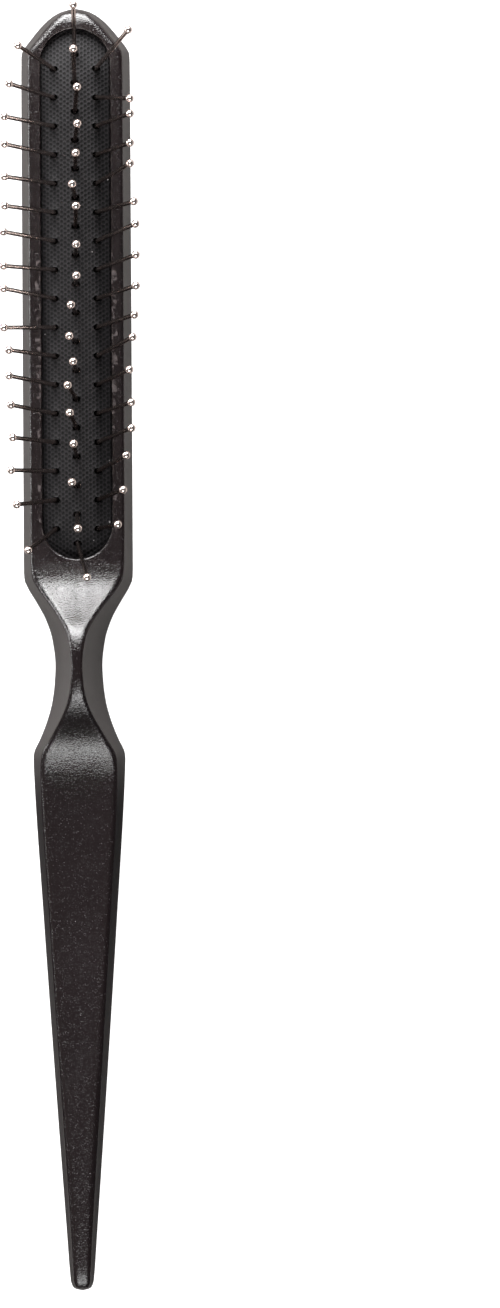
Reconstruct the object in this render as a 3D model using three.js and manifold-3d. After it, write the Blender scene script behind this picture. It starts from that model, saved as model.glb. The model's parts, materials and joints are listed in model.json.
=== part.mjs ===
// A rat-tail teasing brush with ball-tipped wire pins, lying on its flat back, in millimetres.
// +X is the brush's right, +Y runs towards the head's tip and +Z is the way the pins point.
// The origin is on the flat back, midway along the brush. "Along" is the distance from the tip.
import * as THREE from 'three';
import { mergeVertices } from 'three/addons/utils/BufferGeometryUtils.js';
import Module from 'manifold-3d';

const LENGTH = 230;
const DRAFT = Math.tan(THREE.MathUtils.degToRad(13)); // side walls lean in this much, front half
const BACK_DRAFT = Math.tan(THREE.MathUtils.degToRad(4));
const FRONT_EDGE_RADIUS = 0.55;
const BACK_EDGE_RADIUS = 1.4;
const CORNER_STEPS = 3;
const LEAST_HEIGHT = 0.5; // from the parting line to either face, at the rounded ends

// Half-width at the parting line, front and back heights and the parting line's height, as
// [along, value] pairs: nose, head, neck, shoulder, rat tail and its round end.
const HALF_WIDTH = smoothCurve([
  [0, 0.9], [0.4, 2.35], [1.1, 3.7], [2.2, 5.13], [3.5, 6.4], [5.7, 8.2], [6.9, 9.1], [8, 9.65],
  [10, 9.73], [100, 9.76], [102.2, 9.7], [104, 9], [106.5, 7.5], [109.7, 5.8], [113.3, 4.67],
  [117.8, 4.17], [121, 4.33], [124.4, 4.78], [127.8, 5.7], [131.2, 7.05], [133.3, 8.05],
  [134.4, 8.22], [138, 8.1], [163.6, 6.52], [192.3, 4.61], [221.1, 2.58], [227, 2.16],
  [228.4, 2], [229.1, 1.79], [229.5, 1.56], [229.8, 1.1], [230, 0.6],
]);
const FRONT_HEIGHT = smoothCurve([
  [0, 6], [0.5, 7.4], [1.5, 8.5], [3.2, 8.85], [8, 8.9], [97, 9.5], [100, 9.75], [102.4, 10.2],
  [104.5, 11.1], [106.6, 12.5], [108.8, 14.2], [110.9, 16], [113, 17.1], [116, 17.6],
  [119.5, 17.6], [122.6, 17.2], [124.8, 16.2], [126.9, 14.75], [129, 12.8], [131.1, 11.2],
  [133.3, 10.1], [135.4, 9.45], [138, 9], [142, 8.8], [164, 8.55], [193, 8.2], [221.8, 7.7],
  [226.5, 7.5], [228.6, 7.1], [229.5, 6.5], [230, 5.8],
]);
const BACK_HEIGHT = smoothCurve([
  [0, 3.4], [0.5, 2], [1.2, 1.3], [3.2, 0.8], [7, 0.35], [14, 0], [126, 0], [134, 0.45],
  [140, 0.65], [171, 1.8], [193, 2.35], [221.6, 3.2], [227, 3.45], [228.9, 3.9], [230, 4.8],
]);
const PARTING_HEIGHT = smoothCurve([[0, 4.9], [8, 4.4], [140, 4.4], [230, 5.3]]);
const STATIONS = [
  0, 0.25, 0.6, 1.1, 1.7, 2.5, 3.5, 4.6, 5.7, 6.4, 6.9, 7.4, 8, 10, 14, 50, 97, 100, 101.4, 102.3,
  103.1, 104, 105.2, 106.6, 108.1, 109.7, 111.3, 113.2, 115.5, 118, 120.5, 122.6, 124.5, 126.2,
  127.9, 129.5, 131.1, 132.4, 133.3, 134, 134.8, 136.2, 138.5, 142, 152, 164, 178, 193, 208, 221.5,
  226.5, 228, 228.9, 229.5, 229.85, 230,
];

// The recess that holds the cushion: a stadium-shaped pocket with a groove round its wall.
const RECESS = { start: 3.9, end: 98.8, halfWidth: 6.25, floor: 2.8, top: 25 };
const GROOVE = { depth: 0.8, low: 6.1, high: 7.3 };
const ARC_STEPS = 7;
const STRAIGHT_STEPS = 14;

// The cushion: a cloth face over an air-filled rubber dome.
const EDGE_HEIGHT = 7.6;
const CROWN_RISE = 3.7;
const ROW_OFFSET = 3.75;
const CREASE = ROW_OFFSET / RECESS.halfWidth; // the dome folds along the two outer pin rows
const CREASE_RISE = 0.65;
const CROWN = smoothCurve([
  [3.9, 0.28], [5, 0.34], [8.7, 0.6], [11, 0.78], [13.6, 0.92], [18.5, 1], [60, 1.02], [84, 1.05],
  [90, 0.88], [93.4, 0.75], [98.8, 0.72],
]);
const CLOTH_THICKNESS = 0.45;
const LAYER_GAP = 0.15;
const RUBBER_THICKNESS = 1.7;
const FLANGE = { reach: 0.45, low: 6.4, high: 7 };
const RINGS = [0.95, 0.78, CREASE, 0.3, 0]; // parts of the half-width, edge to crown

// The pins: 17 left, 18 centre and 17 right, half a pitch apart, each set by hand at its own
// lean towards the tip and its own sideways slope, in degrees (outwards in the two outer rows).
const PITCH = 5.14;
const FIRST_CENTRE = 8.56;
const WIRE_RADIUS = 0.38;
const BALL_RADIUS = 0.73;
const PIN_REACH = 18.75; // from the cloth to the ball's centre
const PIN_DEPTH = 3.7; // from the cloth to the underside of the pin's flat head
const PIN_HEAD = { radius: 0.8, thickness: 0.5 };
const PIN_SIDES = 6;
const HOLE_RADIUS = 0.78; // wide enough for the wire to rock in the cushion
const HOLE_SIDES = 6;
const ROWS = {
  left: {
    x: -ROW_OFFSET, first: FIRST_CENTRE + PITCH / 2, outwards: -1,
    lean: [8, 3, 1, 2, 0, 0, 2, -1, 3, -3, 1, 3, 3, 1, -1, -4, -13],
    slope: [18, 23, 26, 26, 26, 26, 27, 27, 27, 27, 24, 24, 23, 22, 23, 20, 14],
  },
  centre: {
    x: 0, first: FIRST_CENTRE, outwards: 1,
    lean: [22, 13, 8, 4, 4, 3, 7, 2, 1, 1, 0, 2, 5, 6, 5, 0, -9, -20],
    slope: [1, 1, 3, 3, 2, 0, 2, 2, 2, -1, -2, 0, -3, -2, 0, -1, 2, 7],
  },
  right: {
    x: ROW_OFFSET, first: FIRST_CENTRE + PITCH / 2, outwards: 1,
    lean: [17, -6, 2, 2, 7, 2, 6, 5, 4, 4, 8, 6, 4, 6, 7, 4, 1],
    slope: [20, 20, 20, 20, 20, 22, 23, 23, 23, 22, 21, 19, 20, 20, 17, 15, 12],
  },
};

const BLACK_PLASTIC = new THREE.MeshStandardMaterial({ color: 0x1b1718, roughness: 0.42, metalness: 0 });
const BLACK_RUBBER = new THREE.MeshStandardMaterial({ color: 0x141314, roughness: 0.75, metalness: 0 });
const BLACK_CLOTH = new THREE.MeshStandardMaterial({ color: 0x1d1c1d, roughness: 0.9, metalness: 0 });
const NICKEL_WIRE = new THREE.MeshStandardMaterial({ color: 0xc9b9b3, roughness: 0.22, metalness: 1 });

// Smooth curve through the points that never overshoots them.
function smoothCurve(points) {
  const secant = points.slice(1).map(([x, v], i) => (v - points[i][1]) / (x - points[i][0]));
  const tangent = points.map((_, i) => {
    const before = secant[Math.max(i - 1, 0)];
    const after = secant[Math.min(i, secant.length - 1)];
    return before * after <= 0 ? 0 : (2 * before * after) / (before + after);
  });
  return (x) => {
    let i = 0;
    while (i < points.length - 2 && x > points[i + 1][0]) i += 1;
    const width = points[i + 1][0] - points[i][0];
    const t = THREE.MathUtils.clamp((x - points[i][0]) / width, 0, 1);
    const rise = points[i + 1][1] - points[i][1];
    const ease = t * t * (3 - 2 * t);
    const start = t * (1 - t) * (1 - t) * width * tangent[i];
    const finish = t * t * (1 - t) * width * tangent[i + 1];
    return points[i][1] + rise * ease + start - finish;
  };
}

const place = (x, along, z) => new THREE.Vector3(x, LENGTH / 2 - along, z);

// Right half of the body's section, from the middle of the back to the middle of the front.
function halfSection(along) {
  const parting = PARTING_HEIGHT(along);
  const front = Math.max(FRONT_HEIGHT(along), parting + LEAST_HEIGHT);
  const back = Math.min(BACK_HEIGHT(along), parting - LEAST_HEIGHT);
  const width = HALF_WIDTH(along);
  const topWidth = Math.max(width - (front - parting) * DRAFT, width * 0.25);
  const backWidth = Math.max(width - (parting - back) * BACK_DRAFT, width * 0.5);
  const topRadius = Math.min(FRONT_EDGE_RADIUS, topWidth * 0.6, (front - parting) * 0.6);
  const backRadius = Math.min(BACK_EDGE_RADIUS, backWidth * 0.6, (parting - back) * 0.7);
  const corner = (edge, height, radius, side) => Array.from({ length: CORNER_STEPS + 1 }, (_, i) => {
    const turn = (i / CORNER_STEPS) * (Math.PI / 2);
    const angle = side < 0 ? turn : Math.PI / 2 - turn;
    return [edge - radius + radius * Math.sin(angle), height - side * radius * (1 - Math.cos(angle))];
  });
  return [
    [0, back],
    ...corner(backWidth, back, backRadius, -1),
    [width, parting],
    ...corner(topWidth, front, topRadius, 1),
    [0, front],
  ];
}

function bodySection(along) {
  const half = halfSection(along);
  const mirrored = half.slice(1, -1).reverse().map(([x, z]) => [-x, z]);
  return [...half, ...mirrored].map(([x, z]) => place(x, along, z));
}

// A closed solid through rings of points. Each end is filled across its ring, as seen along the
// axis that flatten drops, or needs no filling where the ring has closed up to a line.
function loft(rings, flatten) {
  const count = rings[0].length;
  const points = rings.flat();
  const faces = [];
  for (let ring = 0; ring < rings.length - 1; ring += 1) {
    for (let i = 0; i < count; i += 1) {
      const a = ring * count + i;
      const b = ring * count + ((i + 1) % count);
      faces.push(a, b, b + count, a, b + count, a + count);
    }
  }
  if (flatten) {
    addCap(faces, rings[0].map(flatten), 0, true);
    addCap(faces, rings.at(-1).map(flatten), (rings.length - 1) * count, false);
  }
  if (signedVolume(points, faces) < 0) faces.reverse();
  const geometry = new THREE.BufferGeometry().setFromPoints(points);
  geometry.setIndex(faces);
  return geometry;
}

// Fills a ring with triangles that run the same way round as the ring does, or against it.
function addCap(faces, ring, first, against) {
  const ringTurn = THREE.ShapeUtils.isClockWise(ring);
  for (const [a, b, c] of THREE.ShapeUtils.triangulateShape(ring, [])) {
    const same = THREE.ShapeUtils.isClockWise([ring[a], ring[b], ring[c]]) === ringTurn;
    if (same === against) faces.push(first + a, first + c, first + b);
    else faces.push(first + a, first + b, first + c);
  }
}

function signedVolume(points, faces) {
  let volume = 0;
  for (let i = 0; i < faces.length; i += 3) {
    const [a, b, c] = [points[faces[i]], points[faces[i + 1]], points[faces[i + 2]]];
    volume += a.dot(b.clone().cross(c));
  }
  return volume;
}

const wasm = await Module();
wasm.setup();

function toSolid(geometry) {
  const bare = geometry.clone();
  bare.deleteAttribute('normal');
  bare.deleteAttribute('uv');
  const merged = mergeVertices(bare, 1e-4);
  const vertProperties = new Float32Array(merged.attributes.position.array);
  const triangles = [];
  for (let i = 0; i < merged.index.count; i += 3) {
    const [a, b, c] = merged.index.array.slice(i, i + 3);
    if (a !== b && b !== c && c !== a) triangles.push(a, b, c);
  }
  const triVerts = new Uint32Array(triangles);
  return new wasm.Manifold(new wasm.Mesh({ numProp: 3, vertProperties, triVerts }));
}

function toGeometry(solid) {
  const mesh = solid.getMesh();
  const geometry = new THREE.BufferGeometry();
  geometry.setAttribute('position', new THREE.Float32BufferAttribute(mesh.vertProperties, 3));
  geometry.setIndex(new THREE.Uint32BufferAttribute(mesh.triVerts, 1));
  return geometry;
}

// Points round a stadium that is larger or smaller than the recess all round, by a scale or a
// margin: [x, along] pairs that run down the right side and back up the left.
function stadium(scale, margin) {
  const radius = RECESS.halfWidth * scale + margin;
  const near = RECESS.start + RECESS.halfWidth;
  const far = RECESS.end - RECESS.halfWidth;
  const points = [];
  for (const side of [1, -1]) {
    for (let i = 0; i < ARC_STEPS; i += 1) {
      const angle = (i / ARC_STEPS) * Math.PI;
      const centre = side > 0 ? near : far;
      points.push([-side * radius * Math.cos(angle), centre - side * radius * Math.sin(angle)]);
    }
    for (let i = 0; i < STRAIGHT_STEPS; i += 1) {
      const even = i / STRAIGHT_STEPS;
      const t = 0.5 * even + 0.25 * (1 - Math.cos(even * Math.PI)); // closer together at the ends
      points.push([side * radius, side > 0 ? near + (far - near) * t : far + (near - far) * t]);
    }
  }
  return points;
}

function stadiumPrism(margin, low, high) {
  const outline = stadium(1, margin);
  const level = (z) => outline.map(([x, along]) => place(x, along, z));
  return loft([level(low), level(high)], (p) => new THREE.Vector2(p.x, p.y));
}

// Height of the cloth's face above the back at a point on the cushion.
function clothHeight(x, along) {
  const near = RECESS.start + RECESS.halfWidth;
  const far = RECESS.end - RECESS.halfWidth;
  const past = Math.max(near - along, along - far, 0);
  const r = Math.min(Math.hypot(x, past) / RECESS.halfWidth, 1);
  const side = (CREASE_RISE * (1 - r)) / (1 - CREASE);
  const middle = CREASE_RISE + (1 - CREASE_RISE) * (1 - (r / CREASE) ** 2);
  return EDGE_HEIGHT + CROWN_RISE * CROWN(along) * (r > CREASE ? side : middle);
}

function domeRing(scale, margin, drop, least) {
  return stadium(scale, margin).map(([x, along]) => (
    place(x, along, Math.max(clothHeight(x, along) - drop, least))
  ));
}

const levelRing = (scale, margin, z) => stadium(scale, margin).map(([x, along]) => place(x, along, z));

function clothGeometry() {
  const top = RINGS.map((r) => domeRing(r, 0, 0, 0));
  const bottom = RINGS.map((r) => domeRing(r, 0, CLOTH_THICKNESS, 0)).reverse();
  return loft([...bottom, ...top]);
}

function rubberGeometry() {
  const topDrop = CLOTH_THICKNESS + LAYER_GAP;
  const top = RINGS.map((r) => domeRing(r, 0, topDrop, FLANGE.high));
  const bottom = RINGS.map((r) => domeRing(r, 0, topDrop + RUBBER_THICKNESS, FLANGE.low)).reverse();
  const flange = [levelRing(1, FLANGE.reach, FLANGE.low), levelRing(1, FLANGE.reach, FLANGE.high)];
  return loft([...bottom, ...flange, ...top]);
}

// Every pin's name, root on the cloth and direction.
const pins = Object.entries(ROWS).flatMap(([row, { x, first, outwards, lean, slope }]) => (
  lean.map((degrees, i) => {
    const along = first + PITCH * i;
    const forward = Math.tan(THREE.MathUtils.degToRad(degrees));
    const sideways = outwards * Math.tan(THREE.MathUtils.degToRad(slope[i]));
    return {
      name: `pin_${row}_${String(i + 1).padStart(2, '0')}`,
      root: place(x, along, clothHeight(x, along)),
      direction: new THREE.Vector3(sideways, forward, 1).normalize(),
    };
  })
));

// One pin about its own axis, with its root at z = 0: flat head, wire and ball tip.
function pinGeometry() {
  const low = -PIN_DEPTH;
  const neck = Math.asin(WIRE_RADIUS / BALL_RADIUS);
  const profile = [
    new THREE.Vector2(0, low),
    new THREE.Vector2(PIN_HEAD.radius, low),
    new THREE.Vector2(PIN_HEAD.radius, low + PIN_HEAD.thickness),
    new THREE.Vector2(WIRE_RADIUS, low + PIN_HEAD.thickness),
  ];
  const arcSteps = 4;
  for (let i = 0; i <= arcSteps; i += 1) {
    const angle = neck + ((Math.PI - neck) * i) / arcSteps;
    const radius = i === arcSteps ? 0 : BALL_RADIUS * Math.sin(angle);
    profile.push(new THREE.Vector2(radius, PIN_REACH - BALL_RADIUS * Math.cos(angle)));
  }
  return new THREE.LatheGeometry(profile, PIN_SIDES).rotateX(Math.PI / 2);
}

function holeSolid({ root, direction }) {
  const reach = 6;
  const hole = new THREE.CylinderGeometry(HOLE_RADIUS, HOLE_RADIUS, reach, HOLE_SIDES);
  hole.applyQuaternion(new THREE.Quaternion().setFromUnitVectors(new THREE.Vector3(0, 1, 0), direction));
  hole.translate(root.x, root.y, root.z);
  return toSolid(hole);
}

const brush = new THREE.Group();

function addPiece(name, geometry, material) {
  const mesh = new THREE.Mesh(geometry, material);
  mesh.name = name;
  brush.add(mesh);
  return mesh;
}

const bodyBlank = toSolid(loft(STATIONS.map(bodySection), (p) => new THREE.Vector2(p.x, p.z)));
const pocket = toSolid(stadiumPrism(0, RECESS.floor, RECESS.top));
const groove = toSolid(stadiumPrism(GROOVE.depth, GROOVE.low, GROOVE.high));
addPiece('handle_body', toGeometry(bodyBlank.subtract(pocket.add(groove))), BLACK_PLASTIC);

const holes = pins.map(holeSolid).reduce((all, hole) => all.add(hole));
addPiece('cushion_rubber', toGeometry(toSolid(rubberGeometry()).subtract(holes)), BLACK_RUBBER);
addPiece('cushion_cloth', toGeometry(toSolid(clothGeometry()).subtract(holes)), BLACK_CLOTH);

for (const { name, root, direction } of pins) {
  const pin = addPiece(name, pinGeometry(), NICKEL_WIRE);
  pin.quaternion.setFromUnitVectors(new THREE.Vector3(0, 0, 1), direction);
  pin.position.copy(root);
}

export default brush;
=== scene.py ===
import json
import math

import bmesh
import bpy
from mathutils import Matrix, Vector


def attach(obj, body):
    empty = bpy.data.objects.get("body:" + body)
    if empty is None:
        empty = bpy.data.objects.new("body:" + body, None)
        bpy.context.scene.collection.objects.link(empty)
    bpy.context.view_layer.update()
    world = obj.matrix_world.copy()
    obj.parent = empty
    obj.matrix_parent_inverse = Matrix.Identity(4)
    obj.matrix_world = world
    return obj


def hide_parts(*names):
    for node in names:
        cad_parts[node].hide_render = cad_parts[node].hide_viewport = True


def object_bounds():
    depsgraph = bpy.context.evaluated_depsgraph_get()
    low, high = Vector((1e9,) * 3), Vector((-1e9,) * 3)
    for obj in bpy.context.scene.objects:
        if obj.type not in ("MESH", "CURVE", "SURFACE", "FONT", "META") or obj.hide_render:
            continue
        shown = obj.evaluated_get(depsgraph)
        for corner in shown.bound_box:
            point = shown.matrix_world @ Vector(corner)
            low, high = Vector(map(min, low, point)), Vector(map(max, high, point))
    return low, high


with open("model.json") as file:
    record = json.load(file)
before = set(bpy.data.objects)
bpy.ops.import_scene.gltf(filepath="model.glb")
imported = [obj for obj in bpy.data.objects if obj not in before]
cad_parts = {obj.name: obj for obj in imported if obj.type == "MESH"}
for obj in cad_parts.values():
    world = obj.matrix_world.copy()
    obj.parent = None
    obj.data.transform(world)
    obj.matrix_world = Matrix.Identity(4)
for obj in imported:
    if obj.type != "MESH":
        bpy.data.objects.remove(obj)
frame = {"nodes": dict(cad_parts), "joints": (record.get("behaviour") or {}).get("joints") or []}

MM = 0.001
CAD_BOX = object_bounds()

# ---------------------------------------------------------------- sizes of the moulded body, in mm
LENGTH = 230
DRAFT = math.tan(math.radians(13))
BACK_DRAFT = math.tan(math.radians(4))
BACK_EDGE_RADIUS = 1.4
LEAST_HEIGHT = 0.3
PARTING_RIDGE = 0.04
SUPPORT = 0.3

RECESS_START, RECESS_END, RECESS_HALF_WIDTH, RECESS_FLOOR = 3.9, 98.8, 6.25, 2.8
GROOVE_DEPTH, GROOVE_LOW, GROOVE_HIGH = 0.8, 6.1, 7.3
RIM_RADIUS = 0.3

# ---------------------------------------------------------------- sizes of the cushion, in mm
EDGE_HEIGHT = 7.6
CROWN_RISE = 3.7
ROW_OFFSET = 3.75
CREASE = ROW_OFFSET / RECESS_HALF_WIDTH
CREASE_RISE = 0.65
PIVOT_DEPTH = 1.1
CLOTH_EDGE_GAP = 0.04
TENT_HEIGHT = 0.22
LIP_HEIGHT = 0.06
HEM_DEPTH = 0.6
PIN_OPENING = 0.48
ROCKING_ROOM = 0.26
RUBBER_BORE = 0.74
BORE_SIDES, BORE_LENGTH = 16, 6
GROOVE_CLEARANCE = 0.05
TENT_REACH = 0.4
KNIT_COLUMN, KNIT_PITCH, KNIT_DEPTH = 0.62, 0.84, 0.14
SIMULATION_SCALE = 10

# ---------------------------------------------------------------- sizes of the pins, in mm
WIRE_RADIUS = 0.38
BALL_RADIUS = 0.73
PIN_REACH = 18.75
PIN_DEPTH = 3.7
PIN_HEAD_RADIUS, PIN_HEAD_THICKNESS = 0.8, 0.5

# ---------------------------------------------------------------- brightness of the studio
FLOOR_TONE = (0.28, 0.265, 0.255, 1)
# Painted shade: a near-black patch in the floor's colour beside the tail, seen only in reflections,
# which shades the tail's walls.
FLOOR_PAINTED_SHADE = (0.025, 0.025, 0.025, 1)
ROOM_LEFT = (0.3, 0.28, 0.27, 1)
ROOM_RIGHT = (0.13, 0.13, 0.13, 1)
ROOM_CEILING = (0.25, 0.225, 0.225, 1)
# Past the tip, past the tail and on the left: place and size in metres, then radiance.
SOFTBOXES = {
    "softbox_tip": ((-0.12, 1.0, 0.55), (1.0, 0.9), 29),
    "softbox_tail": ((0, -1.0, 1.0), (0.9, 0.5), 13),
    "softbox_left": ((-1.4, 0.4, 0.22), (0.6, 0.4), 18),
}


def smooth_curve(points):
    """A curve through the points that never overshoots them."""
    xs = [p[0] for p in points]
    vs = [p[1] for p in points]
    secants = [(vs[i + 1] - vs[i]) / (xs[i + 1] - xs[i]) for i in range(len(xs) - 1)]
    tangents = []
    for i in range(len(xs)):
        before, after = secants[max(i - 1, 0)], secants[min(i, len(secants) - 1)]
        tangents.append(0 if before * after <= 0 else 2 * before * after / (before + after))

    def value(x):
        i = 0
        while i < len(xs) - 2 and x > xs[i + 1]:
            i += 1
        width = xs[i + 1] - xs[i]
        t = min(max((x - xs[i]) / width, 0), 1)
        start = t * (1 - t) ** 2 * width * tangents[i]
        finish = t * t * (1 - t) * width * tangents[i + 1]
        return vs[i] + (vs[i + 1] - vs[i]) * t * t * (3 - 2 * t) + start - finish

    return value


half_width = smooth_curve([
    (0, 0.3), (0.1, 1.1), (0.4, 2.3), (1.1, 3.7), (2.2, 5.13), (3.5, 6.4), (5.7, 8.2), (6.9, 9.1),
    (8, 9.65),
    (10, 9.73), (100, 9.76), (102.2, 9.7), (104, 9), (106.5, 7.5), (109.7, 5.8), (113.3, 4.67),
    (117.8, 4.17), (121, 4.33), (124.4, 4.78), (127.8, 5.7), (131.2, 7.05), (133.3, 8.05),
    (134.4, 8.22), (138, 8.1), (163.6, 6.52), (192.3, 4.61), (221.1, 2.58), (227, 2.16),
    (228.4, 2), (229.1, 1.79), (229.5, 1.56), (229.8, 1.1), (230, 0.3),
])
front_height = smooth_curve([
    (0, 5.6), (0.5, 7.4), (1.5, 8.5), (3.2, 8.85), (8, 8.9), (97, 9.5), (100, 9.75), (102.4, 10.2),
    (104.5, 11.1), (106.6, 12.5), (108.8, 14.2), (110.9, 16), (113, 17.1), (116, 17.6),
    (119.5, 17.6), (122.6, 17.2), (124.8, 16.2), (126.9, 14.75), (129, 12.8), (131.1, 11.2),
    (133.3, 10.1), (135.4, 9.45), (138, 9), (142, 8.8), (164, 8.55), (193, 8.2), (221.8, 7.7),
    (226.5, 7.5), (228.6, 7.1), (229.5, 6.5), (230, 5.6),
])
back_height = smooth_curve([
    (0, 4.2), (0.5, 2), (1.2, 1.3), (3.2, 0.8), (7, 0.35), (14, 0), (126, 0), (134, 0.45),
    (140, 0.65), (171, 1.8), (193, 2.35), (221.6, 3.2), (227, 3.45), (228.9, 3.9), (230, 5),
])
parting_height = smooth_curve([(0, 4.9), (8, 4.4), (140, 4.4), (230, 5.3)])
front_edge_radius = smooth_curve([
    (0, 2.2), (5, 2), (10, 0.9), (95, 0.8), (100, 0.9), (104, 1.7), (111, 1.5),
    (118, 0.9), (126, 1.2),
    (132, 1.5), (136, 1.1), (150, 1.1), (230, 1.6),
])
crown = smooth_curve([
    (3.9, 0.28), (5, 0.34), (8.7, 0.6), (11, 0.78), (13.6, 0.92), (18.5, 1), (60, 1.02), (84, 1.05),
    (90, 0.88), (93.4, 0.75), (98.8, 0.72),
])


def place(x, along, z):
    """A point in metres, from mm and the distance along the brush from its tip."""
    return Vector((x * MM, (LENGTH / 2 - along) * MM, z * MM))


# ---------------------------------------------------------------- helpers for modelling
def deselect():
    if bpy.context.mode != "OBJECT":
        bpy.ops.object.mode_set(mode="OBJECT")
    bpy.ops.object.select_all(action="DESELECT")


def activate(obj):
    deselect()
    obj.select_set(True)
    bpy.context.view_layer.objects.active = obj


def apply_modifier(obj, kind, **settings):
    activate(obj)
    modifier = obj.modifiers.new(kind.title(), kind)
    for key, value in settings.items():
        setattr(modifier, key, value)
    bpy.ops.object.modifier_apply(modifier=modifier.name)


def smooth_by_angle(obj, degrees):
    activate(obj)
    bpy.ops.object.shade_smooth_by_angle(angle=math.radians(degrees), keep_sharp_edges=True)


def extrude_rings(name, rings, open_ends=False):
    """A closed solid drawn out from a flat ring through each of the others. With open_ends its
    end rings have closed up to a line, so they are zipped up and not filled."""
    deselect()
    bpy.ops.mesh.primitive_circle_add(vertices=len(rings[0]), fill_type="NGON", radius=MM)
    obj = bpy.context.object
    obj.name = obj.data.name = name
    bpy.ops.object.mode_set(mode="EDIT")
    mesh = bmesh.from_edit_mesh(obj.data)
    for vertex, point in zip(next(iter(mesh.faces)).verts, rings[0]):
        vertex.co = point
    for ring in rings[1:]:
        bpy.ops.mesh.extrude_region_move(TRANSFORM_OT_translate={"value": (0, 0, MM)})
        mesh = bmesh.from_edit_mesh(obj.data)
        end = next(face for face in mesh.faces if face.select)
        for vertex, point in zip(end.verts, ring):
            vertex.co = point
    if open_ends:
        ends = [face for face in mesh.faces if len(face.verts) == len(rings[0])]
        bmesh.ops.delete(mesh, geom=ends, context="FACES_ONLY")
        bmesh.ops.remove_doubles(mesh, verts=mesh.verts, dist=1e-7)
    bmesh.update_edit_mesh(obj.data)
    bpy.ops.mesh.select_all(action="SELECT")
    bpy.ops.mesh.normals_make_consistent(inside=False)
    bpy.ops.object.mode_set(mode="OBJECT")
    return obj


def finish_piece(obj, body, material):
    obj.data.materials.clear()
    obj.data.materials.append(material)
    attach(obj, body)


# ---------------------------------------------------------------- the moulded body
def corner(edge, height, radius, side, steps):
    """Points of a rounded edge, from the flat face towards the wall for the back (side -1)."""
    points = []
    for i in range(steps + 1):
        turn = i / steps * math.pi / 2
        angle = turn if side < 0 else math.pi / 2 - turn
        points.append((edge - radius + radius * math.sin(angle),
                       height - side * radius * (1 - math.cos(angle))))
    return points


def body_ring(along):
    """The body's section: round the right side from the back to the front, and down the left."""
    parting = parting_height(along)
    front = max(front_height(along), parting + LEAST_HEIGHT)
    back = min(back_height(along), parting - LEAST_HEIGHT)
    width = half_width(along)
    top_width = max(width - (front - parting) * DRAFT, width * 0.25)
    back_width = max(width - (parting - back) * BACK_DRAFT, width * 0.5)
    top_radius = min(front_edge_radius(along), top_width * 0.6, (front - parting) * 0.6)
    back_radius = min(BACK_EDGE_RADIUS, back_width * 0.6, (parting - back) * 0.7)
    back_flat, top_flat = back_width - back_radius, top_width - top_radius
    ridge = min(PARTING_RIDGE, width * 0.05)
    half = [(back_flat - min(SUPPORT, back_flat * 0.4), back)]
    half += corner(back_width, back, back_radius, -1, 5)
    half += [(width, parting - 2 * ridge), (width + ridge, parting), (width, parting + 2 * ridge)]
    half += corner(top_width, front, top_radius, 1, 6)
    half += [(top_flat - min(SUPPORT, top_flat * 0.4), front)]
    return [place(x, along, z) for x, z in half + [(-x, z) for x, z in reversed(half)]]


def spread(start, end, count, power=1):
    return [start + (end - start) * (i / count) ** power for i in range(count)]


def body_stations():
    nose = spread(0, 9, 30, 2)
    head = spread(9, 99, 18)
    neck = spread(99, 143, 58)
    tail = spread(143, 224, 22)
    end = [LENGTH - x for x in reversed(spread(0, 6, 24, 2))]
    return nose + head + neck + tail + end


def stadium(margin, scale=1, arc_steps=24, straight_steps=60):
    """(x, along) pairs round the recess, larger by a margin or scaled towards its middle line."""
    radius = RECESS_HALF_WIDTH * scale + margin
    near, far = RECESS_START + RECESS_HALF_WIDTH, RECESS_END - RECESS_HALF_WIDTH
    points = []
    for side, centre, goal in ((1, near, far), (-1, far, near)):
        for angle in spread(0, math.pi, arc_steps):
            points.append((-side * radius * math.cos(angle),
                           centre - side * radius * math.sin(angle)))
        points += [(side * radius, along) for along in spread(centre, goal, straight_steps)]
    return points


def recess_ring(margin, height, from_rim=False):
    return [place(x, along, height + (front_height(along) if from_rim else 0))
            for x, along in stadium(margin)]


def make_body():
    body = extrude_rings("brush_body_moulding", [body_ring(along) for along in body_stations()])
    rings = [recess_ring(0, RECESS_FLOOR), recess_ring(0, GROOVE_LOW)]
    rings += [recess_ring(GROOVE_DEPTH, GROOVE_LOW), recess_ring(GROOVE_DEPTH, GROOVE_HIGH)]
    rings += [recess_ring(0, GROOVE_HIGH)]
    for i in range(5):
        angle = i / 4 * math.pi / 2
        rings.append(recess_ring(RIM_RADIUS * (1 - math.cos(angle)),
                                 RIM_RADIUS * (math.sin(angle) - 1), from_rim=True))
    rings.append(recess_ring(RIM_RADIUS, 1, from_rim=True))
    cutter = extrude_rings("recess_cutter", rings)
    apply_modifier(body, "BOOLEAN", operation="DIFFERENCE", object=cutter, solver="EXACT")
    bpy.data.objects.remove(cutter)
    smooth_by_angle(body, 32)
    apply_modifier(body, "WEIGHTED_NORMAL", weight=80, keep_sharp=True)
    return body


# ---------------------------------------------------------------- the cushion
def dome_height(x, along):
    """Height of the cushion's face above the brush's back, before the pins pull it up."""
    near, far = RECESS_START + RECESS_HALF_WIDTH, RECESS_END - RECESS_HALF_WIDTH
    past = max(near - along, along - far, 0)
    r = min(math.hypot(x, past) / RECESS_HALF_WIDTH, 1)
    side = CREASE_RISE * (1 - r) / (1 - CREASE)
    middle = CREASE_RISE + (1 - CREASE_RISE) * (1 - (r / CREASE) ** 2)
    return EDGE_HEIGHT + CROWN_RISE * crown(along) * (side if r > CREASE else middle)


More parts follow.
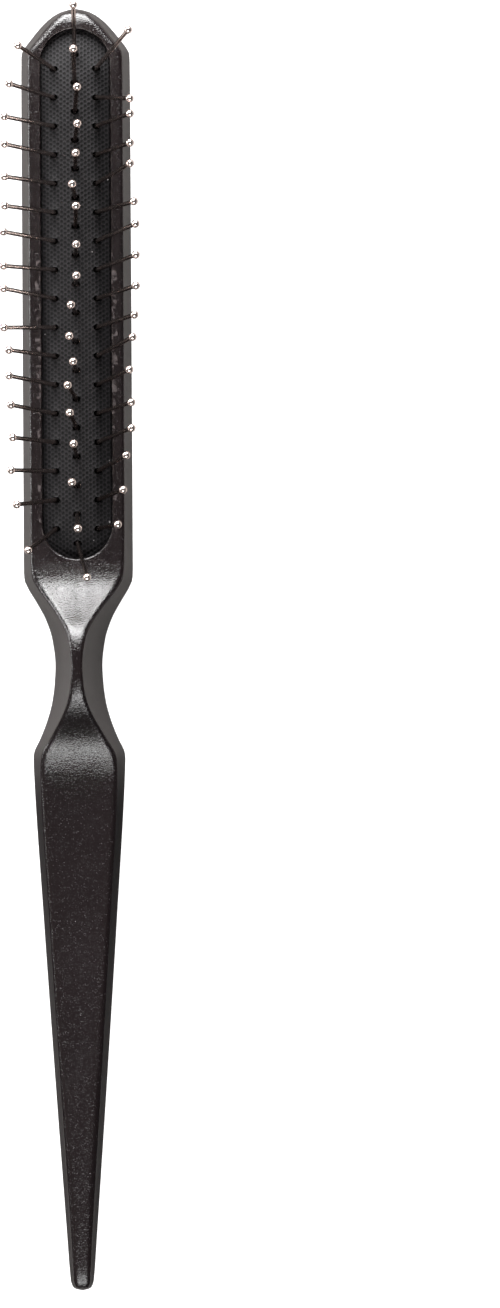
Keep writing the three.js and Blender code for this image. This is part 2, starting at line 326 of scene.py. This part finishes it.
def pin_axes():
    """Each pin's root on the cloth and its direction, read from its joint and its CAD solid."""
    axes = {}
    for joint in frame["joints"]:
        name = joint["child"]
        pivot = Vector(joint["pos_m"])
        points = {tuple(round(c, 7) for c in v.co) for v in frame["nodes"][name].data.vertices}
        upper = [Vector(p) for p in points if p[2] > pivot.z]
        lower = [Vector(p) for p in points if p[2] <= pivot.z]
        upwards = sum(upper, Vector()) / len(upper) - sum(lower, Vector()) / len(lower)
        direction = upwards.normalized()
        axes[name] = (pivot + direction * PIVOT_DEPTH * MM, direction)
    return axes


PINS = pin_axes()
CROSSINGS = [root + direction * (TENT_HEIGHT * MM / direction.z)
             for root, direction in PINS.values()]


def hole_cutter():
    """A rod along each pin, wide enough for the wire to rock in the rubber."""
    rods = []
    for root, direction in PINS.values():
        deselect()
        bpy.ops.mesh.primitive_cylinder_add(
            vertices=BORE_SIDES, radius=RUBBER_BORE * MM, depth=BORE_LENGTH * MM, location=root,
            rotation=direction.to_track_quat("Z", "Y").to_euler())
        rods.append(bpy.context.object)
    deselect()
    for rod in rods:
        rod.select_set(True)
    bpy.context.view_layer.objects.active = rods[0]
    bpy.ops.object.join()
    return rods[0]


def make_rubber():
    """The rubber dome with its flange in the groove, just under the cloth."""
    drop, thickness, low, high = 0.75, 1.5, 6.15, 7.25
    scales = [0, 0.2, 0.4, 0.6, 0.8, 0.93]
    rings = [[place(x, along, max(dome_height(x, along) - drop - thickness, low))
              for x, along in stadium(0, scale)] for scale in scales]
    rings += [recess_ring(GROOVE_DEPTH - GROOVE_CLEARANCE, low),
              recess_ring(GROOVE_DEPTH - GROOVE_CLEARANCE, high)]
    rings += [recess_ring(-GROOVE_CLEARANCE, high)]
    rings += [[place(x, along, max(dome_height(x, along) - drop, high))
               for x, along in stadium(0, scale)] for scale in reversed(scales)]
    rubber = extrude_rings("cushion_rubber_dome", rings, open_ends=True)
    cutter = hole_cutter()
    apply_modifier(rubber, "BOOLEAN", operation="DIFFERENCE", object=cutter, solver="EXACT")
    bpy.data.objects.remove(cutter)
    smooth_by_angle(rubber, 50)
    return rubber


def near_a_pin(point, reach):
    """Where a pin passes through the raised cloth, if that lies within reach of the point."""
    for crossing in CROSSINGS:
        if (crossing - point).xy.length < reach:
            return crossing
    return None


def cloth_grid():
    """A flat grid drawn out to the recess's outline and laid on the dome."""
    columns, rows, arc_share = 26, 176, 0.09
    deselect()
    bpy.ops.mesh.primitive_grid_add(x_subdivisions=columns, y_subdivisions=rows, size=2)
    cloth = bpy.context.object
    cloth.name = cloth.data.name = "cushion_mesh_cloth"
    near, far = RECESS_START + RECESS_HALF_WIDTH, RECESS_END - RECESS_HALF_WIDTH
    radius = RECESS_HALF_WIDTH - CLOTH_EDGE_GAP
    for vertex in cloth.data.vertices:
        share = (1 - vertex.co.y) / 2
        if share < arc_share:
            along = near - radius * math.cos(share / arc_share * math.pi / 2)
        elif share > 1 - arc_share:
            along = far + radius * math.cos((1 - share) / arc_share * math.pi / 2)
        else:
            along = near + (far - near) * (share - arc_share) / (1 - 2 * arc_share)
        past = max(near - along, along - far, 0)
        x = vertex.co.x * math.sqrt(max(radius ** 2 - past ** 2, 0))
        vertex.co = place(x, along, dome_height(x, along))
    activate(cloth)
    bpy.ops.object.mode_set(mode="EDIT")
    bpy.ops.mesh.select_all(action="SELECT")
    bpy.ops.mesh.remove_doubles(threshold=0.02 * MM)
    bpy.ops.mesh.normals_make_consistent(inside=False)
    bpy.ops.object.mode_set(mode="OBJECT")
    return cloth


def stretch_over_pins(cloth):
    """Draws the cloth taut between its clamped edge and the pins, which raise it in tents."""
    held = cloth.vertex_groups.new(name="held")
    mesh = bmesh.new()
    mesh.from_mesh(cloth.data)
    edge = [vertex.index for vertex in mesh.verts if vertex.is_boundary]
    mesh.free()
    held.add(edge, 1, "REPLACE")
    for vertex in cloth.data.vertices:
        crossing = near_a_pin(vertex.co, TENT_REACH * MM)
        if crossing:
            vertex.co.z = crossing.z
            held.add([vertex.index], 1, "REPLACE")
    cloth.data.transform(Matrix.Scale(SIMULATION_SCALE, 4))
    activate(cloth)
    modifier = cloth.modifiers.new("Stretch", "CLOTH")
    settings = modifier.settings
    settings.quality = 8
    settings.mass = 0.05
    settings.tension_stiffness = settings.compression_stiffness = 20
    settings.shear_stiffness = 8
    settings.bending_stiffness = 0.05
    settings.shrink_min = 0.04
    settings.vertex_group_mass = "held"
    settings.effector_weights.gravity = 0
    modifier.collision_settings.use_collision = False
    scene = bpy.context.scene
    for step in range(1, 21):
        scene.frame_set(step)
    bpy.ops.object.modifier_apply(modifier=modifier.name)
    scene.frame_set(1)
    cloth.data.transform(Matrix.Scale(1 / SIMULATION_SCALE, 4))


def knit_hole(point):
    """1 in the middle of a hole of the mesh knit and 0 on its threads, on a honeycomb."""
    across = math.pi * point.x / (KNIT_COLUMN * MM)
    up = math.tau * point.y / (KNIT_PITCH * MM)
    total = math.cos(across + up) + math.cos(across - up) + math.cos(2 * across)
    return min(max((total + 0.7) / 2.5, 0), 1)


def make_cloth():
    """The knitted mesh face, with its threads and holes in relief and an opening at each pin."""
    cloth = cloth_grid()
    stretch_over_pins(cloth)
    cloth.vertex_groups.clear()
    apply_modifier(cloth, "SUBSURF", levels=2, render_levels=2)
    for vertex in cloth.data.vertices:
        vertex.co.z -= KNIT_DEPTH * MM * knit_hole(vertex.co)
    activate(cloth)
    bpy.ops.object.mode_set(mode="EDIT")
    mesh = bmesh.from_edit_mesh(cloth.data)
    opening = PIN_OPENING * MM
    inner = [f for f in mesh.faces if all(near_a_pin(v.co, opening * 0.9) for v in f.verts)]
    bmesh.ops.delete(mesh, geom=inner, context="FACES")
    reach = opening + ROCKING_ROOM * MM
    for vertex in mesh.verts:
        crossing = near_a_pin(vertex.co, reach)
        if crossing:
            away = (vertex.co - crossing).xy
            room = opening + ROCKING_ROOM * MM * abs(away.normalized().x)
            if away.length < room:
                vertex.co.x, vertex.co.y = crossing.xy + away.normalized() * room
                vertex.co.z += LIP_HEIGHT * MM
    for edge in mesh.edges:
        middle = (edge.verts[0].co + edge.verts[1].co) / 2
        edge.select = edge.is_boundary and not near_a_pin(middle, 2 * opening)
    bmesh.update_edit_mesh(cloth.data)
    bpy.ops.mesh.extrude_edges_move(TRANSFORM_OT_translate={"value": (0, 0, -HEM_DEPTH * MM)})
    bpy.ops.object.mode_set(mode="OBJECT")
    smooth_by_angle(cloth, 60)
    return cloth


# ---------------------------------------------------------------- the pins
def model_pin():
    """One pin standing on the origin: flat head, drawn wire and ball tip."""
    def ring(radius, z):
        steps = 16
        return [Vector((radius * MM * math.cos(i / steps * math.tau),
                        radius * MM * math.sin(i / steps * math.tau), z * MM))
                for i in range(steps)]

    low, head_top = -PIN_DEPTH, PIN_HEAD_THICKNESS - PIN_DEPTH
    rings = [ring(PIN_HEAD_RADIUS * 0.8, low), ring(PIN_HEAD_RADIUS, low + 0.12)]
    rings += [ring(PIN_HEAD_RADIUS, head_top - 0.12), ring(PIN_HEAD_RADIUS * 0.8, head_top)]
    rings += [ring(WIRE_RADIUS * 1.25, head_top), ring(WIRE_RADIUS, head_top + 0.15)]
    rings += [ring(WIRE_RADIUS, z) for z in (0, 6, 12)]
    neck = math.asin(WIRE_RADIUS / BALL_RADIUS)
    rings.append(ring(WIRE_RADIUS, PIN_REACH - BALL_RADIUS * math.cos(neck) - 0.1))
    steps = 9
    for i in range(steps):
        angle = neck + (math.pi - neck) * i / steps
        rings.append(ring(BALL_RADIUS * math.sin(angle), PIN_REACH - BALL_RADIUS * math.cos(angle)))
    pin = extrude_rings("pin_pattern", rings)
    smooth_by_angle(pin, 40)
    return pin


def place_pins(material):
    pattern = model_pin()
    for i, (name, (root, direction)) in enumerate(PINS.items()):
        pin = pattern.copy()
        pin.data = pattern.data.copy()
        pin.name = pin.data.name = name + "_wire"
        bpy.context.scene.collection.objects.link(pin)
        turn = Vector((0, 0, 1)).rotation_difference(direction).to_matrix().to_4x4()
        own_turn = Matrix.Rotation(i * 2.4, 4, "Z")
        pin.data.transform(Matrix.Translation(root) @ turn @ own_turn)
        finish_piece(pin, name, material)
        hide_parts(name)
    bpy.data.objects.remove(pattern)


# ---------------------------------------------------------------- camera
def make_camera():
    """Straight above the brush, which lies left of the middle of the frame."""
    data = bpy.data.cameras.new("camera")
    camera = bpy.data.objects.new("camera", data)
    bpy.context.scene.collection.objects.link(camera)
    framed_length = 0.23495
    distance = 1.0876
    data.sensor_width = 36
    data.lens = data.sensor_width * distance / framed_length
    camera.location = (0.03075, -0.00098, distance + 5 * MM)
    camera.rotation_euler = (0, 0, math.radians(-0.33))
    bpy.context.scene.camera = camera


# ---------------------------------------------------------------- node helpers
def new_group(name, inputs, outputs):
    """A shader node group with its input and output nodes; inputs are (name, kind, value)."""
    group = bpy.data.node_groups.new(name, "ShaderNodeTree")
    for label, kind, value in inputs:
        socket = group.interface.new_socket(label, in_out="INPUT", socket_type="NodeSocket" + kind)
        if value is not None:
            socket.default_value = value
    for label, kind in outputs:
        group.interface.new_socket(label, in_out="OUTPUT", socket_type="NodeSocket" + kind)
    given = group.nodes.new("NodeGroupInput").outputs
    results = group.nodes.new("NodeGroupOutput").inputs
    return group, given, results


def add(tree, kind, settings=None, **inputs):
    """A node of that kind with its settings; an input given as a socket is linked, else set."""
    node = tree.nodes.new("ShaderNode" + kind)
    for key, value in (settings or {}).items():
        setattr(node, key, value)
    for label, value in inputs.items():
        feed(tree, node.inputs[label.replace("_", " ")], value)
    return node


def feed(tree, socket, value):
    if isinstance(value, bpy.types.NodeSocket):
        tree.links.new(value, socket)
    else:
        socket.default_value = value


def math_node(tree, operation, *values, clamp=False):
    node = tree.nodes.new("ShaderNodeMath")
    node.operation, node.use_clamp = operation, clamp
    for socket, value in zip(node.inputs, values):
        feed(tree, socket, value)
    return node.outputs[0]


def ramp(tree, value, low, high):
    """value as 0 below low and 1 above high, with a smooth step between them."""
    node = add(tree, "MapRange", {"interpolation_type": "SMOOTHSTEP"}, Value=value)
    node.inputs["From Min"].default_value = low
    node.inputs["From Max"].default_value = high
    return node.outputs["Result"]


def mix_colours(tree, factor, first, second):
    node = tree.nodes.new("ShaderNodeMix")
    node.data_type = "RGBA"
    feed(tree, node.inputs["Factor"], factor)
    feed(tree, node.inputs[6], first)
    feed(tree, node.inputs[7], second)
    return node.outputs[2]


def place_group(tree, group, **inputs):
    node = tree.nodes.new("ShaderNodeGroup")
    node.node_tree = group
    for label, value in inputs.items():
        feed(tree, node.inputs[label.replace("_", " ")], value)
    return node.outputs


def new_material(name):
    material = bpy.data.materials.new(name)
    material.use_nodes = True
    tree = material.node_tree
    return material, tree, tree.nodes["Principled BSDF"], add(tree, "TexCoord").outputs["Object"]


def bump(tree, shader, height, strength, distance):
    node = add(tree, "Bump", Height=height, Strength=strength, Distance=distance)
    tree.links.new(node.outputs["Normal"], shader.inputs["Normal"])


# ---------------------------------------------------------------- floor and light
def make_floor():
    """A white sweep with a painted shade patch on both sides of the tail, which only the brush
    reflects.
    """
    deselect()
    bpy.ops.mesh.primitive_plane_add(size=6, location=(0, 0, CAD_BOX[0][2] - 0.01 * MM))
    floor = bpy.context.object
    floor.name = "floor"
    material = bpy.data.materials.new("pale_floor")
    material.use_nodes = True
    tree = material.node_tree
    shader = tree.nodes["Principled BSDF"]
    shader.inputs["Roughness"].default_value = 0.8
    shader.inputs["Specular IOR Level"].default_value = 0
    shader.inputs["Emission Color"].default_value = (1, 1, 1, 1)
    where = add(tree, "SeparateXYZ", Vector=add(tree, "TexCoord").outputs["Object"]).outputs
    beside = ramp(tree, math_node(tree, "ABSOLUTE", where["X"]), 0.006, 0.012)
    past_neck = ramp(tree, math_node(tree, "MULTIPLY", where["Y"], -1.0), 0.012, 0.03)
    # Painted shade patch beside the tail, seen only in the brush's reflections.
    painted_shade_patch = math_node(tree, "MULTIPLY", beside, past_neck)
    tone = mix_colours(tree, painted_shade_patch, FLOOR_TONE, FLOOR_PAINTED_SHADE)
    seen = add(tree, "LightPath").outputs["Is Camera Ray"]
    tree.links.new(mix_colours(tree, seen, tone, (0.3, 0.3, 0.3, 1)), shader.inputs["Base Color"])
    tree.links.new(math_node(tree, "MULTIPLY", seen, 0.94), shader.inputs["Emission Strength"])
    floor.data.materials.append(material)


def softbox(name, location, size, radiance):
    data = bpy.data.lights.new(name, "AREA")
    data.shape = "RECTANGLE"
    data.size, data.size_y = size
    data.energy = radiance * math.pi * size[0] * size[1]
    light = bpy.data.objects.new(name, data)
    bpy.context.scene.collection.objects.link(light)
    light.location = location
    light.rotation_euler = (-Vector(location)).to_track_quat("-Z", "Y").to_euler()
    light.visible_camera = False


def make_light():
    """A dim room that darkens to the right, lit by the softboxes."""
    world = bpy.data.worlds.new("studio")
    bpy.context.scene.world = world
    world.use_nodes = True
    tree = world.node_tree
    background = tree.nodes["Background"]
    towards = add(tree, "SeparateXYZ", Vector=add(tree, "TexCoord").outputs["Generated"]).outputs
    side = mix_colours(tree, ramp(tree, towards["X"], -0.8, 0.8), ROOM_LEFT, ROOM_RIGHT)
    room = mix_colours(tree, ramp(tree, towards["Z"], 0.75, 0.97), side, ROOM_CEILING)
    seen = add(tree, "LightPath").outputs["Is Camera Ray"]
    tree.links.new(mix_colours(tree, seen, room, (1, 1, 1, 1)), background.inputs["Color"])
    for name, (location, size, radiance) in SOFTBOXES.items():
        softbox(name, location, size, radiance)
    bpy.context.scene.view_settings.view_transform = "Standard"


# ---------------------------------------------------------------- effects that materials share
def make_grain_group():
    """Fine spark-eroded grain of a mould face. Scale is in grains per metre."""
    group, given, out = new_group(
        "moulded_grain", [("Vector", "Vector", None), ("Scale", "Float", 3000)],
        [("Height", "Float"), ("Tone", "Float")])
    fine = add(group, "TexNoise", Vector=given["Vector"], Scale=given["Scale"], Detail=1.0)
    group.links.new(fine.outputs["Fac"], out["Height"])
    broad = add(group, "TexNoise", Vector=given["Vector"], Scale=60.0, Detail=3.0)
    group.links.new(broad.outputs["Fac"], out["Tone"])
    return group


def make_dust_and_glint_group():
    """A mask of specks, used for specks of dirt and for painted glints. Scale is in cells per
    metre, Share how many cells hold one, and Size the largest speck's radius as a part of its cell."""
    group, given, out = new_group(
        "dust_and_glint_specks", [("Vector", "Vector", None), ("Scale", "Float", 500),
        ("Share", "Float", 0.1),
                        ("Size", "Float", 0.13)],
        [("Mask", "Float")])
    cells = add(group, "TexVoronoi", Vector=given["Vector"], Scale=given["Scale"])
    pick = add(group, "SeparateColor", Color=cells.outputs["Color"])
    chosen = math_node(group, "LESS_THAN", pick.outputs["Red"], given["Share"])
    size = math_node(group, "MULTIPLY", pick.outputs["Green"], given["Size"])
    speck = math_node(group, "LESS_THAN", cells.outputs["Distance"], size)
    group.links.new(math_node(group, "MULTIPLY", chosen, speck), out["Mask"])
    return group


def make_wear_and_highlight_group():
    """A mask along convex edges, broken up by noise: rubbing from handling, and a painted edge
    highlight.
    """
    group, given, out = new_group(
        "edge_wear_and_highlight", [("Vector", "Vector", None), ("Amount", "Float", 1)], [("Mask", "Float")])
    edge = ramp(group, add(group, "NewGeometry").outputs["Pointiness"], 0.52, 0.6)
    noise = add(group, "TexNoise", Vector=given["Vector"], Scale=900.0, Detail=4.0)
    worn_and_highlit = math_node(group, "MULTIPLY", edge, ramp(group, noise.outputs["Fac"], 0.45, 0.7))
    group.links.new(math_node(group, "MULTIPLY", worn_and_highlit, given["Amount"]), out["Mask"])
    return group


def make_knit_group():
    """Honeycomb net of a mesh knit: Hole is 1 in its holes and Thread is 1 along its threads."""
    group, given, out = new_group(
        "mesh_knit", [("Vector", "Vector", None), ("Column", "Float", KNIT_COLUMN * MM),
                      ("Pitch", "Float", KNIT_PITCH * MM)],
        [("Hole", "Float"), ("Thread", "Float")])
    place_in = add(group, "SeparateXYZ", Vector=given["Vector"]).outputs
    across = math_node(group, "DIVIDE",
                       math_node(group, "MULTIPLY", place_in["X"], math.pi), given["Column"])
    up = math_node(group, "DIVIDE",
                   math_node(group, "MULTIPLY", place_in["Y"], math.tau), given["Pitch"])
    waves = [math_node(group, "ADD", across, up), math_node(group, "SUBTRACT", across, up),
             math_node(group, "MULTIPLY", across, 2.0)]
    crests = [math_node(group, "COSINE", wave) for wave in waves]
    total = math_node(group, "ADD", math_node(group, "ADD", crests[0], crests[1]), crests[2])
    group.links.new(ramp(group, total, -0.5, 1.0), out["Hole"])
    group.links.new(ramp(group, math_node(group, "MULTIPLY", total, -1.0), 0.3, 1.3), out["Thread"])
    return group


# ---------------------------------------------------------------- materials
def black_plastic(grain, dust_and_glints, wear_and_highlight):
    material, tree, shader, where = new_material("black_moulded_plastic")
    skin = place_group(tree, grain, Vector=where, Scale=4000.0)
    facing = add(tree, "SeparateXYZ", Vector=add(tree, "TexCoord").outputs["Normal"]).outputs["Z"]
    face = ramp(tree, math_node(tree, "ABSOLUTE", facing), 0.3, 0.65)
    specks = place_group(tree, dust_and_glints, Vector=where, Scale=1300.0, Share=0.05)
    worn_and_highlit = place_group(tree, wear_and_highlight, Vector=where, Amount=0.8)
    # Painted glints: lighter specks in the base colour of the flat faces, a painted sparkle of
    # light on the grain.
    glints = place_group(tree, dust_and_glints, Vector=where, Scale=3600.0, Share=0.3, Size=0.45)
    tone = mix_colours(tree, skin["Tone"], (0.002, 0.0009, 0.001, 1), (0.0035, 0.0016, 0.0019, 1))
    glinting = math_node(tree, "MULTIPLY", glints["Mask"], math_node(tree, "MULTIPLY", face, 0.55))
    sparkling = mix_colours(tree, glinting, tone, (0.034, 0.03, 0.032, 1))
    # Lighter along convex edges: partly rubbing from handling, partly a painted edge highlight.
    edge = mix_colours(tree, worn_and_highlit["Mask"], sparkling, (0.07, 0.06, 0.06, 1))
    colour = mix_colours(tree, specks["Mask"], edge, (0.12, 0.11, 0.115, 1))
    tree.links.new(colour, shader.inputs["Base Color"])
    polish = math_node(tree, "MULTIPLY_ADD", skin["Tone"], 0.08, 0.43)
    gloss = math_node(tree, "MULTIPLY_ADD", face, -0.26, polish)
    tree.links.new(math_node(tree, "MULTIPLY_ADD", specks["Mask"], 0.5, gloss),
                   shader.inputs["Roughness"])
    grained = math_node(tree, "MULTIPLY_ADD", face, 0.8, 0.2)
    bump(tree, shader, math_node(tree, "MULTIPLY", skin["Height"], grained), 1.0, 0.00008)
    return material


def black_rubber(grain, dust_and_glints):
    material, tree, shader, where = new_material("black_cushion_rubber")
    skin = place_group(tree, grain, Vector=where, Scale=1800.0)
    colour = mix_colours(tree, skin["Tone"], (0.009, 0.009, 0.009, 1), (0.016, 0.015, 0.015, 1))
    specks = place_group(tree, dust_and_glints, Vector=where, Scale=600.0, Share=0.04)
    tree.links.new(mix_colours(tree, specks["Mask"], colour, (0.2, 0.2, 0.2, 1)),
                   shader.inputs["Base Color"])
    tree.links.new(math_node(tree, "MULTIPLY_ADD", skin["Tone"], 0.2, 0.55),
                   shader.inputs["Roughness"])
    bump(tree, shader, skin["Height"], 0.3, 0.00004)
    return material


def mesh_cloth(knit, dust_and_glints):
    material, tree, shader, where = new_material("black_mesh_cloth")
    net = place_group(tree, knit, Vector=where)
    specks = place_group(tree, dust_and_glints, Vector=where, Scale=700.0, Share=0.08)
    broad = add(tree, "TexNoise", Vector=where, Scale=220.0, Detail=3.0)
    yarn = mix_colours(tree, broad.outputs["Fac"],
                       (0.0013, 0.0012, 0.0013, 1), (0.006, 0.0055, 0.006, 1))
    # Painted light on the knit: the threads painted lighter, a painted highlight on their tops, and
    # the holes painted near black, painted shade over the rubber seen through them.
    lit = mix_colours(tree, net["Thread"], yarn, (0.0122, 0.011, 0.0122, 1))
    dark = mix_colours(tree, net["Hole"], lit, (0.002, 0.002, 0.002, 1))
    tree.links.new(mix_colours(tree, specks["Mask"], dark, (0.2, 0.19, 0.19, 1)),
                   shader.inputs["Base Color"])
    shader.inputs["Roughness"].default_value = 0.75
    shader.inputs["Specular IOR Level"].default_value = 0.15
    fuzz = add(tree, "TexNoise", Vector=where, Scale=6000.0, Detail=2.0)
    bump(tree, shader, fuzz.outputs["Fac"], 0.8, 0.00006)
    return material


def nickel_wire():
    material, tree, shader, where = new_material("nickel_plated_wire")
    cloud = add(tree, "TexNoise", Vector=where, Scale=900.0, Detail=3.0)
    tone = mix_colours(tree, cloud.outputs["Fac"], (0.7, 0.61, 0.58, 1), (0.82, 0.73, 0.69, 1))
    tree.links.new(tone, shader.inputs["Base Color"])
    shader.inputs["Metallic"].default_value = 1
    shader.inputs["Specular Tint"].default_value = (0.3, 0.245, 0.23, 1)
    shader.inputs["Roughness"].default_value = 0.15
    return material


# ---------------------------------------------------------------- put together
def main():
    make_camera()
    make_floor()
    make_light()
    grain, dust_and_glints = make_grain_group(), make_dust_and_glint_group()
    wear_and_highlight, knit = make_wear_and_highlight_group(), make_knit_group()
    body = make_body()
    finish_piece(body, "brush_body", black_plastic(grain, dust_and_glints, wear_and_highlight))
    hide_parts("handle_body")
    rubber = make_rubber()
    finish_piece(rubber, "brush_body", black_rubber(grain, dust_and_glints))
    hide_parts("cushion_rubber")
    cloth = make_cloth()
    finish_piece(cloth, "brush_body", mesh_cloth(knit, dust_and_glints))
    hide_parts("cushion_cloth")
    place_pins(nickel_wire())


main()
